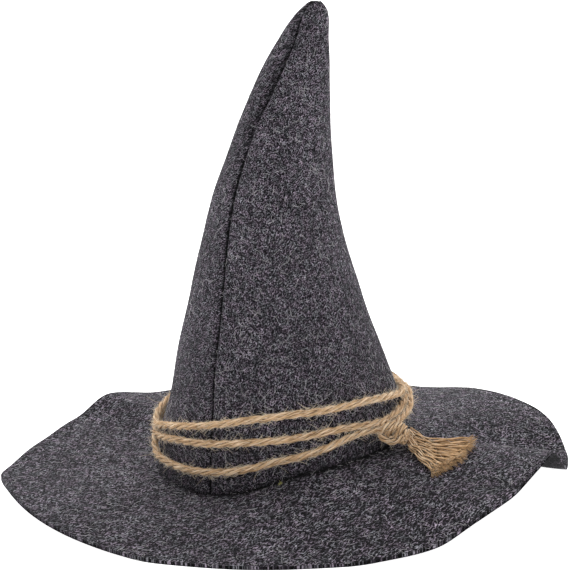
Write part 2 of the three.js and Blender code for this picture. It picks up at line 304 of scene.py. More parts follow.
def make_felt():
    """Heathered grey wool felt."""
    material, tree, shader = new_material("felt")
    lay = stored(tree, "lay", "Vector")
    bent = curl(tree, lay)
    pale = fibre_mat(tree, bent, PALE_FIBRE_TURNS, PALE_FIBRES)
    dark = fibre_mat(tree, bent, DARK_FIBRE_TURNS, DARK_FIBRES)
    grain, _ = cloudy(tree, laid(tree, lay, GRAIN_SIZE, GRAIN_TURN), 1.0, True)
    colour = blend(tree, calculate(tree, "MULTIPLY", dark, DARK_SHARE), FELT_GREY, FELT_DEEP)
    colour = blend(tree, calculate(tree, "MULTIPLY", pale, PALE_SHARE), colour, FELT_PALE)
    tint = between(tree, spots(tree, lay, TINT_SIZE), *TINT_TURNS)
    colour = blend(tree, 1.0, colour, blend(tree, tint, FELT_PLUM, FELT_MOSS), "MULTIPLY")
    grey = between(tree, grain, *GRAIN_SHADES)
    layers = [
        (spots(tree, lay, *TUFTS), TUFT_SHADES),
        (spots(tree, lay, *PATCHES), PATCH_SHADES),
        # painted light and shade stored on the felt: darker in seams, folds, along the rim and underneath,
        # lighter up the crown
        (stored(tree, "painted_light_and_wear"), PAINTED_LIGHT_SHADES),
    ]
    for layer, shades in layers:
        grey = calculate(tree, "MULTIPLY", grey, between(tree, layer, *shades))
    colour = blend(tree, 1.0, colour, grey, "MULTIPLY")
    plug(tree, shader.inputs["Base Color"], colour)
    set_sockets(shader, FELT_SHINE)
    height = calculate(tree, "SUBTRACT", pale, dark)
    height = calculate(tree, "ADD", height, calculate(tree, "MULTIPLY", grain, GRAIN_RAISED))
    raise_surface(tree, shader, height, FELT_RELIEF)
    return material


felt = make_felt()
print("felt has", len(felt.node_tree.nodes), "nodes")

# %% [markdown]
# The felt pieces start as copies of the frame's solids. A CAD mesh is loose triangles, so the copy is
# merged and joined back into quads. A bevel of half a millimetre rounds the cut edges, and Subdivision
# Surface turns the facets into one soft sheet. Subdivision pulls a curved sheet inwards, so the points are
# first moved out by as much as they were pulled in. Last, the sheet is pushed in and out a little over a
# few centimetres, because felt shaped by hand is never even.

# %% Felt sheets
MERGE_WITHIN = 0.001 * MM
QUAD_BEND = math.radians(80)
QUAD_SHAPE = math.radians(120)
EDGE_ROUND = 0.55 * MM
SHARP_EDGE = math.radians(55)
SHEET_LEVELS = 2
PULL_LIMIT = 1.5 * MM
LOWEST = 0.05 * MM
DENT_SIZE = 38 * MM
DENT_DEPTH = 0.7 * MM
DENT_CLEAR = 12 * MM
DENT_SKIP = 0.3


def merged_copy(node):
    """A bmesh of a CAD node with its triangles joined back into quads."""
    bm = bmesh.new()
    bm.from_mesh(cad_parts[node].data)
    bmesh.ops.remove_doubles(bm, verts=bm.verts, dist=MERGE_WITHIN)
    limits = {"angle_face_threshold": QUAD_BEND, "angle_shape_threshold": QUAD_SHAPE}
    bmesh.ops.join_triangles(bm, faces=bm.faces, **limits)
    return bm


def round_cut_edges(bm):
    """A small bevel along the cut edges of the felt."""
    cut = [edge for edge in bm.edges if edge.calc_face_angle(0) > SHARP_EDGE]
    bmesh.ops.bevel(
        bm, geom=cut, offset=EDGE_ROUND, offset_type="OFFSET",
        affect="EDGES", segments=2, profile=0.5, material=-1,
    )


def apply_modifiers(made):
    """Makes the object's modifiers part of its mesh."""
    depsgraph = bpy.context.evaluated_depsgraph_get()
    mesh = bpy.data.meshes.new_from_object(made.evaluated_get(depsgraph))
    made.modifiers.clear()
    made.data = mesh
    mesh.name = made.name


def cover(mesh, material):
    """Gives a mesh smooth shading and one material."""
    mesh.polygons.foreach_set("use_smooth", [True] * len(mesh.polygons))
    mesh.materials.clear()
    mesh.materials.append(material)


def places(mesh):
    """The mesh's points as rows of x, y and z."""
    flat = np.empty(len(mesh.vertices) * 3)
    mesh.vertices.foreach_get("co", flat)
    return flat.reshape(-1, 3)


def move_points(mesh, at):
    """Puts the mesh's points at new places."""
    mesh.vertices.foreach_set("co", at.ravel())
    mesh.update()


def facings(mesh):
    """The direction that each point of the mesh faces."""
    return np.array([vertex.normal[:] for vertex in mesh.vertices])


def dent(mesh):
    """Pushes the sheet in and out by a slow noise, but not where it touches the floor."""
    at = places(mesh)
    push = np.array([noise.noise(Vector(row) / DENT_SIZE) for row in at]) * DENT_DEPTH
    above = np.clip(at[:, 2] / DENT_CLEAR - DENT_SKIP, 0, 1)
    at += facings(mesh) * (push * above)[:, None]
    at[:, 2] = np.maximum(at[:, 2], LOWEST)
    move_points(mesh, at)


def hold_shape(made):
    """Moves the coarse points so that the subdivided sheet goes through their old places."""
    wanted = places(made.data)
    held = wanted.copy()
    for _ in range(2):
        evaluated = made.evaluated_get(bpy.context.evaluated_depsgraph_get())
        pulled = wanted - places(evaluated.data)[:len(wanted)]
        held += np.clip(pulled, -PULL_LIMIT, PULL_LIMIT)
        move_points(made.data, held)
        bpy.context.view_layer.update()
    print(made.name, "was pulled in by", round(float(np.abs(held - wanted).max()) / MM, 2), "mm at most")


def felt_sheet(name, node):
    """A felt piece in the place and shape of a CAD node."""
    bm = merged_copy(node)
    round_cut_edges(bm)
    mesh = bpy.data.meshes.new(name)
    bm.to_mesh(mesh)
    bm.free()
    made = new_object(name, mesh)
    soft = made.modifiers.new("soft", "SUBSURF")
    soft.levels = soft.render_levels = SHEET_LEVELS
    bpy.context.view_layer.update()
    hold_shape(made)
    apply_modifiers(made)
    dent(made.data)
    cover(made.data, felt)
    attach(made, "root")
    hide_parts(node)
    print(name, len(made.data.polygons), "faces")
    return made


brim = felt_sheet("felt_brim", "brim")
crown_right = felt_sheet("felt_crown_right", "crown_right_panel")
crown_left = felt_sheet("felt_crown_left", "crown_left_panel")

# %% [markdown]
# The horn's tip is blunt and full, where four layers of felt meet inside. Its foot stands out a little on
# the left, under the slack of the cord. Both are made by pushing points away from the horn's middle line.
# For the foot a short table gives the push in each direction, in millimetres.

# %% Tip and foot of the horn
CROWN_LEVELS = 60
CROWN_LOWEST = 40 * MM
TIP_FULLER = 1.7 * MM
TIP_RANGE = (336 * MM, 357 * MM)
TIP_CORE = 3 * MM
INWARD_SHARE = 0.35
FOOT_FLARE = [
    (128, 0), (144, 0.3), (156, 1.4), (167, 2.8), (177, 3.6),
    (186, 3.3), (196, 2.0), (210, 0.5), (226, 0),
]
FOOT_RANGE = (54 * MM, 30 * MM)
FOOT_TURN_OUT = 0.55
FOOT_LOW = 13 * MM


def crown_axis():
    """Height, middle and half width of the horn, level by level."""
    points = np.vstack([places(panel.data) for panel in (crown_right, crown_left)])
    levels = np.linspace(CROWN_LOWEST, points[:, 2].max() - 1 * MM, CROWN_LEVELS)
    half_step = (levels[1] - levels[0]) / 2
    rows = []
    for level in levels:
        near = points[np.abs(points[:, 2] - level) < half_step]
        low, high = near.min(0), near.max(0)
        rows.append((level, *((low + high) / 2)[:2], (high[0] - low[0]) / 2))
    return np.array(rows).T


AXIS = crown_axis()


def from_axis(at):
    """Across, deep and half width: where points lie from the middle of the horn at their height."""
    middle_x, middle_y, half = (np.interp(at[:, 2], AXIS[0], row) for row in AXIS[1:])
    return at[:, 0] - middle_x, at[:, 1] - middle_y, half


def clockwise(at):
    """Direction from the horn's middle in degrees, clockwise from the right."""
    across, deep, _ = from_axis(at)
    return np.degrees(-np.arctan2(deep, across)) % 360


def part_way(value, start, end):
    """0 at the start, 1 at the end."""
    return np.clip((value - start) / (end - start), 0, 1)


def nearness(far, reach):
    """1 where the distance is nothing and 0 from the reach on."""
    return np.clip(1 - far / reach, 0, 1)


def push_out(panel, push):
    """Moves a panel's points away from the horn's middle."""
    at = places(panel.data)
    across, deep, _ = from_axis(at)
    reach = np.maximum(np.hypot(across, deep), 0.1 * MM)
    push = np.maximum(push, -INWARD_SHARE * reach)
    at[:, 0] += across / reach * push
    at[:, 1] += deep / reach * push
    move_points(panel.data, at)


def shape_by_hand(panel):
    """Fills out the tip and flares the foot."""
    at = places(panel.data)
    across, deep, _ = from_axis(at)
    height = at[:, 2]
    tip = part_way(height, *TIP_RANGE) * part_way(np.hypot(across, deep), 0, TIP_CORE)
    flare = np.interp(clockwise(at), *zip(*FOOT_FLARE)) * MM
    low = part_way(height, *FOOT_RANGE)
    low = low * low * (3 - 2 * low) + FOOT_TURN_OUT * nearness(height, FOOT_LOW)
    push_out(panel, TIP_FULLER * tip + flare * low)


for panel in (crown_right, crown_left):
    shape_by_hand(panel)
print("foot flared by", FOOT_FLARE[4][1], "mm at most")

# %% [markdown]
# The two panels are sewn edge to edge with the seam turned inside, which pulls both edges down into a
# groove. Low down it is a fine line, near the tip it is deep, and there the right panel also stands proud
# of the left one. A search tree gives each point's distance to the other panel, and short tables say how
# wide and deep the groove is at each height.

# %% Seams of the horn
SEAM_HEIGHTS = np.array([60, 150, 230, 325, 352]) * MM
GROOVE_WIDTHS = np.array([2.6, 2.8, 4.2, 4.4, 2.4]) * MM
GROOVE_DEPTHS = np.array([0.6, 0.8, 1.5, 1.4, 0.5]) * MM
STEP_WIDTH = 11 * MM
STEP_RANGE = (235 * MM, 364 * MM)
STEP_OF_PANEL = {"felt_crown_right": 1.2 * MM, "felt_crown_left": -2.2 * MM}


def search_tree(mesh):
    """A tree that finds the place on a mesh nearest to a point."""
    return BVHTree.FromPolygons(places(mesh).tolist(), [face.vertices[:] for face in mesh.polygons])


def distances(sheet, others, limit):
    """How far each point of a sheet is from the nearest of the others, up to the limit."""
    far = np.full(len(sheet.data.vertices), limit)
    for other in others:
        tree = search_tree(other.data)
        for k, vertex in enumerate(sheet.data.vertices):
            distance = tree.find_nearest(vertex.co, limit)[3]
            if distance is not None:
                far[k] = min(far[k], distance)
    return far


def step_share(at, far):
    """How much of the step beside the front seam a point gets."""
    front = from_axis(at)[1] < 0
    return nearness(far, STEP_WIDTH) * np.sin(np.pi * part_way(at[:, 2], *STEP_RANGE)) ** 2 * front


def looks_outward(at, facing):
    """Above 0 where a sheet faces away from the horn's middle."""
    across, deep, _ = from_axis(at)
    return facing[:, 0] * across + facing[:, 1] * deep


def press_seam(panel, far):
    """Pulls a panel's edge into the groove, and makes the step beside the front seam."""
    at = places(panel.data)
    groove = nearness(far, np.interp(at[:, 2], SEAM_HEIGHTS, GROOVE_WIDTHS)) ** 2
    depth = np.interp(at[:, 2], SEAM_HEIGHTS, GROOVE_DEPTHS)
    step = STEP_OF_PANEL[panel.name] * step_share(at, far)
    step = np.where(looks_outward(at, facings(panel.data)) < 0, -np.abs(step), step)
    push_out(panel, step - depth * groove)


panel_pairs = [(crown_right, crown_left), (crown_left, crown_right)]
seam_distances = [distances(panel, [other], STEP_WIDTH) for panel, other in panel_pairs]
for (panel, _), far in zip(panel_pairs, seam_distances):
    press_seam(panel, far)
    print(panel.name, "has", int((far < STEP_WIDTH).sum()), "points beside a seam")

# %% [markdown]
# A pattern that follows the cloth needs coordinates on the flat cloth. On the brim they are the place seen
# from above, drawn out about twice as coarse as on the crown. On the crown they are the way round and the
# height, as if the horn were opened out on a table. A second stored value holds painted light and shade on
# the felt: below 0 is painted shade in the seams, in the fold at the crown's foot, beside the step at the
# front seam, along the cut rim and on the brim's underside, most of all under the right fold. The crown is
# painted darker low down and lighter towards the tip, and the brim's upper side is a little darker all over.

# %% Flat coordinates of the felt
PANEL_MIDDLES = {"felt_crown_right": -38.5, "felt_crown_left": 141.5}
SEAM_SHADE_WIDTHS = np.array([2.0, 2.3, 3.4, 3.2, 1.3]) * MM
PAINTED_SHADE_STRENGTH = 1.7
SEAM_FALL = 1.5
SEAM_BREAKS = (165 * MM, 7 * MM, 0.95, 1.3, 0.15)
STEP_PAINTED_SHADOW = 0.6
FOOT_SHADE_WIDTH = 3.1 * MM
CROWN_PAINTED_LIGHT = [(0, -0.02), (190, 0.05), (360, 0.06)]
FOOT_SHADE_SHARES = [
    (0, 0.9), (30, 1.15), (60, 1.1), (95, 0.8), (128, 0.4),
    (150, 0.1), (235, 0.1), (270, 0.7), (360, 0.9),
]
RIM_REACH = 2.5 * MM
RIM_PAINTED_SHADE = -0.2
BRIM_DARKER = -0.06
UNDERSIDE_PAINTED_SHADE = -0.42
BELOW_FACING = -0.3
FOLD_PAINTED_SHADOW = [(150, 0), (196, -0.45), (208, -0.45), (217, 0.2)]
BRIM_STRETCH = (1.9, 2.0)
CROWN_STRETCH = 1.1
RIM_PARTS = 180


def store(mesh, name, values):
    """Stores one value or vector for each point of the mesh."""
    values = np.asarray(values, np.float32)
    kind, field = ("FLOAT", "value") if values.ndim == 1 else ("FLOAT_VECTOR", "vector")
    if values.ndim == 2:
        values = np.pad(values, ((0, 0), (0, 3 - values.shape[1])))
    mesh.attributes.new(name, kind, "POINT").data.foreach_set(field, values.ravel())


def crown_lay(panel):
    """Way round and height of each point of a crown panel."""
    at = places(panel.data)
    across, deep, half = from_axis(at)
    turn = np.arctan2(deep, across) - math.radians(PANEL_MIDDLES[panel.name])
    turn = (turn + math.pi) % (math.tau) - math.pi
    return np.column_stack([turn * half, at[:, 2]])


def rim_nearness(at):
    """1 on the brim's cut rim and 0 further in."""
    reach = np.hypot(at[:, 0], at[:, 1])
    part = ((np.arctan2(at[:, 1], at[:, 0]) / (math.tau)) % 1) * RIM_PARTS
    furthest = np.zeros(RIM_PARTS)
    np.maximum.at(furthest, part.astype(int) % RIM_PARTS, reach)
    rim = np.interp(part, np.arange(RIM_PARTS) + 0.5, furthest, period=RIM_PARTS)
    return nearness(rim - reach, RIM_REACH)


def seam_painted_shade(at, far):
    """Painted shade in the groove between the panels, broken by fibres low down."""
    top, long, whole, swing, least = SEAM_BREAKS
    width = np.interp(at[:, 2], SEAM_HEIGHTS, SEAM_SHADE_WIDTHS)
    broken = np.array([whole + swing * noise.noise(UP * (z / long)) for z in at[:, 2]])
    broken = np.where(at[:, 2] < top, np.clip(broken, least, 1), 1)
    return nearness(far, width) ** SEAM_FALL * PAINTED_SHADE_STRENGTH * broken


def foot_painted_shade(sheet, others):
    """Painted shade in the fold where the crown meets the brim."""
    far = distances(sheet, others, FOOT_SHADE_WIDTH)
    share = np.interp(clockwise(places(sheet.data)), *zip(*FOOT_SHADE_SHARES))
    return nearness(far, FOOT_SHADE_WIDTH) ** SEAM_FALL * PAINTED_SHADE_STRENGTH * share


felt_sheets = (brim, crown_right, crown_left)
for panel, other in panel_pairs:
    at = places(panel.data)
    beside = distances(panel, [other], STEP_WIDTH)
    # painted shade in the seam groove and in the fold at the crown's foot
    painted_shade = np.maximum(seam_painted_shade(at, beside), foot_painted_shade(panel, [brim]))
    # painted shadow of the right panel's proud edge, on the left panel beside the front seam near the tip
    if panel is crown_left:
        painted_shade = np.maximum(painted_shade, STEP_PAINTED_SHADOW * step_share(at, beside))
    store(panel.data, "lay", crown_lay(panel) / CROWN_STRETCH)
    # painted light: darker low on the crown, lighter towards the tip
    tone_by_place = np.interp(at[:, 2] / MM, *zip(*CROWN_PAINTED_LIGHT))
    store(panel.data, "painted_light_and_wear", tone_by_place - np.minimum(1, painted_shade))
at = places(brim.data)
# painted shade in the fold at the crown's foot
painted_shade = foot_painted_shade(brim, [crown_right, crown_left])
store(brim.data, "lay", at[:, :2] / BRIM_STRETCH)
# painted shade on the brim's underside, deepest under the right fold
below = UNDERSIDE_PAINTED_SHADE + np.interp(at[:, 0] / MM, *zip(*FOLD_PAINTED_SHADOW))
# the brim's upper side is a little darker all over
tone_by_place = np.where(facings(brim.data)[:, 2] < BELOW_FACING, below, BRIM_DARKER)
# painted shade along the cut rim, and in the fold at the crown's foot
store(brim.data, "painted_light_and_wear", tone_by_place + rim_nearness(at) * RIM_PAINTED_SHADE - np.minimum(1, painted_shade))
print("crown half width at 100 mm", round(float(np.interp(100 * MM, AXIS[0], AXIS[3])) / MM, 1), "mm")

# %% [markdown]
# Jute is a coarse bast fibre: stiff, straw-coloured, with darker strands in it. Spun yarn shows fine lines
# along its length. The pattern reads `lay`, which each yarn stores as if it were pulled straight along one
# axis, so the lines follow every bend and twist. The cut ends have gone a little orange.

# %% Jute
JUTE_TAN = (0.65, 0.425, 0.24, 1)
JUTE_PALE = (1.0, 0.84, 0.64, 1)
JUTE_BROWN = (0.12, 0.062, 0.026, 1)
JUTE_ORANGE = (0.98, 0.62, 0.30, 1)
JUTE_CREASE_SHADE = (0.055, 0.03, 0.014, 1)
JUTE_LINE = (1.2 * MM, 1.2 * MM, 11 * MM)
JUTE_CLUMP = (2.5 * MM, 2.5 * MM, 8 * MM)
PALE_LINES = (0.5, 0.68, 0.0, 0.75)
BROWN_LINES = (0.5, 0.34, 0.0, 0.7)
BROWN_CLUMPS = (0.55, 0.8, 0.0, 0.45)
ORANGE_SHARE = 0.55
CREASE_SHADE_RANGE = (0.28, 0.86, 0.0, 0.94)
JUTE_RELIEF = 0.35 * MM
JUTE_SHINE = dict(zip(SHINE, (0.85, 0.2, 0.15, 0.45, (0.9, 0.8, 0.65, 1))))


def make_jute():
    """Spun jute with fine lines along the yarn."""
    material, tree, shader = new_material("jute")
    lay = stored(tree, "lay", "Vector")
    lines, _ = cloudy(tree, laid(tree, lay, JUTE_LINE), 3.0)
    clumps, _ = cloudy(tree, laid(tree, lay, JUTE_CLUMP), 2.0)
    layers = [
        (between(tree, lines, *BROWN_LINES), JUTE_BROWN),
        (between(tree, lines, *PALE_LINES), JUTE_PALE),
        (between(tree, clumps, *BROWN_CLUMPS), JUTE_BROWN),
        (calculate(tree, "MULTIPLY", stored(tree, "painted_light_and_wear"), ORANGE_SHARE), JUTE_ORANGE),
        # painted shade: the jute darker where nearby strands hide it
        (between(tree, stored(tree, "crease"), *CREASE_SHADE_RANGE), JUTE_CREASE_SHADE),
    ]
    colour = JUTE_TAN
    for share, over in layers:
        colour = blend(tree, share, colour, over)
    plug(tree, shader.inputs["Base Color"], colour)
    set_sockets(shader, JUTE_SHINE)
    raise_surface(tree, shader, lines, JUTE_RELIEF)
    return material


jute = make_jute()
print("jute has", len(jute.node_tree.nodes), "nodes")

# %% [markdown]
# Everything spun or loose here is a tube along a line: a ply, a yarn, a stray hair. A Blender curve with a
# round bevel makes thousands of them at once and is then turned into a mesh. Its rings come in order along
# each line, so the straight coordinates are counted off ring by ring. A tiny last ring is merged to a
# point and closes the tube. Shade falls between the strands of a cord, and here it is painted into the jute:
# `crease` is the share of the view out of a point that strands nearby block, and it darkens the colour.

# %% Tubes along lines
SIDES_OF_LEVEL = (4, 6, 8)
POINT_RADIUS = 0.001 * MM
YARN_APART = 10 * MM
CREASE_REACH = 3.5 * MM
CREASE_RAYS = 6
CREASE_TILT = 1.1
CREASE_START = 0.05 * MM


def beyond(end, before):
    """A point just past the end of a line, to close the tube."""
    place, radius = end
    return place + (place - before[0]).normalized() * radius * 0.5, POINT_RADIUS


def closed_line(line):
    """A line of (place, radius) with a point at each end."""
    return [beyond(line[0], line[1]), *line, beyond(line[-1], line[-2])]


def straight_places(lines, sides):
    """Where each point of the tubes would be if every line were pulled straight."""
    rows = []
    for index, line in enumerate(lines):
        along = 0.0
        for k, (place, radius) in enumerate(line):
            along += (place - line[k - 1][0]).length if k else 0.0
            for side in range(sides):
                turn = math.tau * side / sides
                across = index * YARN_APART + radius * math.cos(turn)
                rows.append((across, radius * math.sin(turn), along))
    return rows


def creases(mesh):
    """For each point, the share of short rays out of it that meet a strand."""
    tree = search_tree(mesh)
    values = []
    for vertex in mesh.vertices:
        normal = vertex.normal.copy()
        side = normal.orthogonal().normalized() * CREASE_TILT
        up = normal.cross(side)
        rays = [normal]
        for k in range(CREASE_RAYS):
            turn = math.tau * k / CREASE_RAYS
            rays.append((normal + side * math.cos(turn) + up * math.sin(turn)).normalized())
        start = vertex.co + normal * CREASE_START
        met = [tree.ray_cast(start, ray, CREASE_REACH)[3] is not None for ray in rays]
        values.append(sum(met) / len(met))
    return values


def tubes(name, lines, level, material, painted_light_and_wear=None):
    """One mesh of closed round tubes. The last argument gives values for the start and end of each line:
    painted shade on felt, orange wear on jute.
    """
    lines = [closed_line(line) for line in lines]
    curve = bpy.data.curves.new(name, "CURVE")
    curve.dimensions = "3D"
    curve.bevel_depth = 1.0
    curve.bevel_resolution = level
    for line in lines:
        spline = curve.splines.new("POLY")
        spline.points.add(len(line) - 1)
        spline.points.foreach_set("co", [x for place, _ in line for x in (*place, 1.0)])
        spline.points.foreach_set("radius", [radius for _, radius in line])
    holder = new_object(name + "_lines", curve)
    bpy.context.view_layer.update()
    mesh = bpy.data.meshes.new_from_object(holder)
    bpy.data.objects.remove(holder)
    bpy.data.curves.remove(curve)
    sides = SIDES_OF_LEVEL[level]
    store(mesh, "lay", straight_places(lines, sides))
    ends = painted_light_and_wear or [(0.0, 0.0)] * len(lines)
    values = [
        start + (end - start) * (k / (len(line) - 1)) ** 2
        for line, (start, end) in zip(lines, ends)
        for k in range(len(line))
        for _ in range(sides)
    ]
    store(mesh, "painted_light_and_wear", values)
    bm = bmesh.new()
    bm.from_mesh(mesh)
    bmesh.ops.remove_doubles(bm, verts=bm.verts, dist=3 * POINT_RADIUS)
    bm.to_mesh(mesh)
    bm.free()
    cover(mesh, material)
    mesh.name = name
    if material is jute:
        store(mesh, "crease", creases(mesh))
    made = new_object(name, mesh)
    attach(made, "root")
    print(name, len(lines), "lines,", sum(len(face.vertices) - 2 for face in mesh.polygons), "triangles")
    return made


print("tubes have", SIDES_OF_LEVEL, "sides")

# %% [markdown]
# A smooth way through a few chosen places is a Catmull-Rom curve. It is cut again into equal steps, and
# each step gets two directions across it that turn as little as possible, so that a ply can be wound
# round the way at an even pitch.

# %% Smooth ways
FINE_PARTS = 12


def smooth_way(points, step):
    """Places at equal steps along a smooth curve through the points."""
    ends = [2 * points[0] - points[1], *points, 2 * points[-1] - points[-2]]
    rows = []
    for a, b, c, d in zip(ends, ends[1:], ends[2:], ends[3:]):
        for k in range(FINE_PARTS):
            t = k / FINE_PARTS
            bend = (2 * a - 5 * b + 4 * c - d) * t * t + (3 * b - a - 3 * c + d) * t * t * t
            rows.append(b + ((c - a) * t + bend) / 2)
    rows.append(points[-1])
    rows = np.array(rows)
    along = np.concatenate([[0], np.cumsum(np.linalg.norm(np.diff(rows, axis=0), axis=1))])
    stops = np.linspace(0, along[-1], max(2, round(along[-1] / step)) + 1)
    columns = [np.interp(stops, along, rows[:, axis]) for axis in range(3)]
    return [Vector(row) for row in np.column_stack(columns)]


def way_length(way):
    """Length of a way in metres."""
    return sum((b - a).length for a, b in zip(way, way[1:]))


def across_way(way):
    """Two directions across each step of the way."""
    side = (way[1] - way[0]).orthogonal().normalized()
    rows = []
    for k, place in enumerate(way):
        ahead = (way[min(k + 1, len(way) - 1)] - way[max(k - 1, 0)]).normalized()
        side = (side - ahead * side.dot(ahead)).normalized()
        rows.append((side, ahead.cross(side)))
    return rows


def off_way(sides, turn):
    """A direction across a way, at an angle."""
    return sides[0] * math.cos(turn) + sides[1] * math.sin(turn)


PLIES = 3
PLY_PITCH = 34 * MM
PLY_STEP = 1.3 * MM
SOFT_PLY = (0.52, 0.52)
HARD_PLY = (0.46, 0.58)
UNEVEN = 0.2
UNEVEN_SIZE = 7 * MM


def plies(way, radius, pitch=PLY_PITCH, count=PLIES, start=0.0, lie=SOFT_PLY):
    """The twisted plies of a cord: lines of (place, radius)."""
    thick, off_middle = lie
    step = way_length(way) / (len(way) - 1)
    rows = across_way(way)
    lines = []
    for ply in range(count):
        line = []
        for k, (place, sides) in enumerate(zip(way, rows)):
            turn = start - math.tau * (k * step / pitch + ply / count)
            off = off_way(sides, turn) * radius * off_middle
            swell = 1 + UNEVEN * noise.noise(Vector((place.x, place.y, place.z + ply)) / UNEVEN_SIZE)
            line.append((place + off, radius * thick * swell))
        lines.append(line)
    return lines


print("a cord has", PLIES, "plies")

# %% [markdown]
# The cord leaves the knot and goes clockwise round the crown three times, climbing a little on each turn.
# Its last stretch comes from behind on the right, crosses over the others and goes down into the knot. The
# route is that of the frame's cord, a few millimetres lower behind on the left. Each row gives an angle in
# degrees, clockwise from the right, the cord's height on each turn in millimetres, or None where that turn
# doesn't pass, and how far it hangs off the crown.

# %% The cord's route
CROWN_MIDDLE = Vector((0.3, -3.2, 0)) * MM
CROWN_GIRTH = [(0, 97.5), (25, 96), (45, 93.8), (70, 87.2), (100, 78.6)]
CORD_RADIUS = 2.85 * MM
CORD_AWAY = 3.3
CORD_TURNS = [
    (0, None, 52.5, 59.5, 0), (12, None, 53.8, 62.3, 0), (24, None, 53.3, 66, 0),
    (36, None, 52.2, 69, 0), (48, 49.5, 53.6, 71, 0), (60, 48.5, 55.5, 71, 0),
    (72, 43.5, 55, 70.5, 0), (84, 39, 53, 70, 0), (96, 35, 51, 68, 0),
    (108, 29, 49, 65, 0), (120, 24.5, 46, 60.5, 0), (132, 21.5, 43, 56, 0),
    (144, 19.5, 40.5, 51.5, 0.3), (156, 18.3, 37, 47, 1.5), (167, 17.8, 33.5, 42, 3.2),
    (177, 21.5, 31.8, 38.8, 4.3), (186, 27.5, 36, 43.2, 4), (196, 32, 38.5, 44.8, 2.4),
    (210, 36, 42.6, 49.2, 0.6), (240, 41, 48.4, 55.6, 0), (270, 44, 52, 60, 0),
    (300, 46.5, 54.5, None, 0), (330, 49, 57, None, 0), (348, 50.5, 57.2, None, 0),
]
CORD_END = [
    (284, 61.2, 0.3), (297, 62, 1.2), (310, 61.5, 3), (320, 59.5, 4.9), (330, 56.4, 5.9),
    (340, 53.8, 5.3), (348, 53, 5.3), (354, 53.2, 4.7), (360, 52, 3.7), (368, 50.6, 3.6),
    (376, 49.8, 3.2), (387, 49.2, 3.3), (396, 49, 4.6),
]
KNOT_MIDDLE = Vector((81.0, -66.2, 45.8)) * MM
KNOT_RUN = Vector((0.84, -0.36, -0.40)).normalized()
KNOT_OVER = Vector((-0.12, -0.86, 0.50)).cross(KNOT_RUN).normalized()
KNOT_FRONT = KNOT_RUN.cross(KNOT_OVER)


def on_crown(angle, height, lift):
    """The cord's middle line at an angle and a height in millimetres."""
    girth = np.interp(height, *zip(*CROWN_GIRTH))
    turn = math.radians(-angle)
    reach = (girth + CORD_AWAY + lift) * MM
    return CROWN_MIDDLE + Vector((reach * math.cos(turn), reach * math.sin(turn), height * MM))


def in_knot(along, over=0.0, front=0.0):
    """A place in the knot, in millimetres along it to the tassel, over it and to its front."""
    return KNOT_MIDDLE + (KNOT_RUN * along + KNOT_OVER * over + KNOT_FRONT * front) * MM


def cord_points():
    """The cord's route from the knot and back into it."""
    turns = [
        on_crown(row[0], row[column], row[4])
        for column in (1, 2, 3)
        for row in CORD_TURNS
        if row[column] is not None
    ]
    return [in_knot(0), *turns, *(on_crown(*row) for row in CORD_END), in_knot(-7, 1, 3)]


cord_way = smooth_way(cord_points(), PLY_STEP)
cord = tubes("jute_cord", plies(cord_way, CORD_RADIUS), 2, jute)
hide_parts("cord_band")
print("the cord is", round(way_length(cord_way) / MM), "mm long")

# %% [markdown]
# The knot is the same cord, pulled tight. Turns side by side lean over the strands that come in from the
# left, one strand runs along the bottom under them, and the last turn on the right holds the tassel.
# Each row of KNOT_WRAPS is a turn: where it lies along the knot, over it and to its front, its radius, all
# in millimetres, and its lean in degrees.

# %% The knot
KNOT_CORD = 2.4 * MM
KNOT_STEP = 0.9 * MM
KNOT_PITCH = 24 * MM
WRAP_PARTS = 14
KNOT_WRAPS = [
    (-8.4, -1.0, 2.0, 4.8, 28),
    (-3.8, -0.4, 1.2, 6.3, 26),
    (1.2, 0.4, 0.6, 7.0, 20),
    (6.2, 0.8, 0.4, 6.4, 8),
    (10.8, 0.8, 0.0, 4.4, -8),
]
CORE_STRAND = [(-13, 3, -2), (-6, 1, 0), (0, 0, 0), (8, 0.5, 0), (13, -1, 0)]
BOTTOM_STRAND = [(-9.5, -2, 3), (-7, -6, 4), (-2, -9, 4.6), (4, -8.6, 5), (8.5, -5.5, 5.6), (10.4, -0.5, 5)]
INNER_STRAND = [(-8, -2.6, 1.6), (-4, -5, 2.6), (1, -6, 3.2), (6, -4.6, 3.4), (9, -1, 3)]


def wrap_way(along, over, front, radius, lean):
    """A turn of cord round the knot's run, leaning by an angle."""
    tilt = math.radians(lean)
    points = []
    for k in range(WRAP_PARTS + 2):
        turn = math.tau * k / WRAP_PARTS
        out, rise = radius * math.cos(turn), radius * math.sin(turn)
        points.append(in_knot(along + rise * math.sin(tilt), over + rise * math.cos(tilt), front + out))
    return smooth_way(points, KNOT_STEP)


knot_ways = [wrap_way(*row) for row in KNOT_WRAPS]
for rows in (CORE_STRAND, BOTTOM_STRAND, INNER_STRAND):
    knot_ways.append(smooth_way([in_knot(*row) for row in rows], KNOT_STEP))
knot_lines = [
    line
    for k, way in enumerate(knot_ways)
    for line in plies(way, KNOT_CORD, KNOT_PITCH, PLIES, k, HARD_PLY)
]
knot = tubes("jute_knot", knot_lines, 2, jute)
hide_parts("knot")

# %% [markdown]
# Below the knot the cord's ends are untwisted into their yarns, which keep a wave from the twist. They
# bend down onto the brim and fan out. Each yarn runs between three guide lines at its own share of the way
# across, some higher and some lower. Where a yarn is cut its fibres spread like a brush.

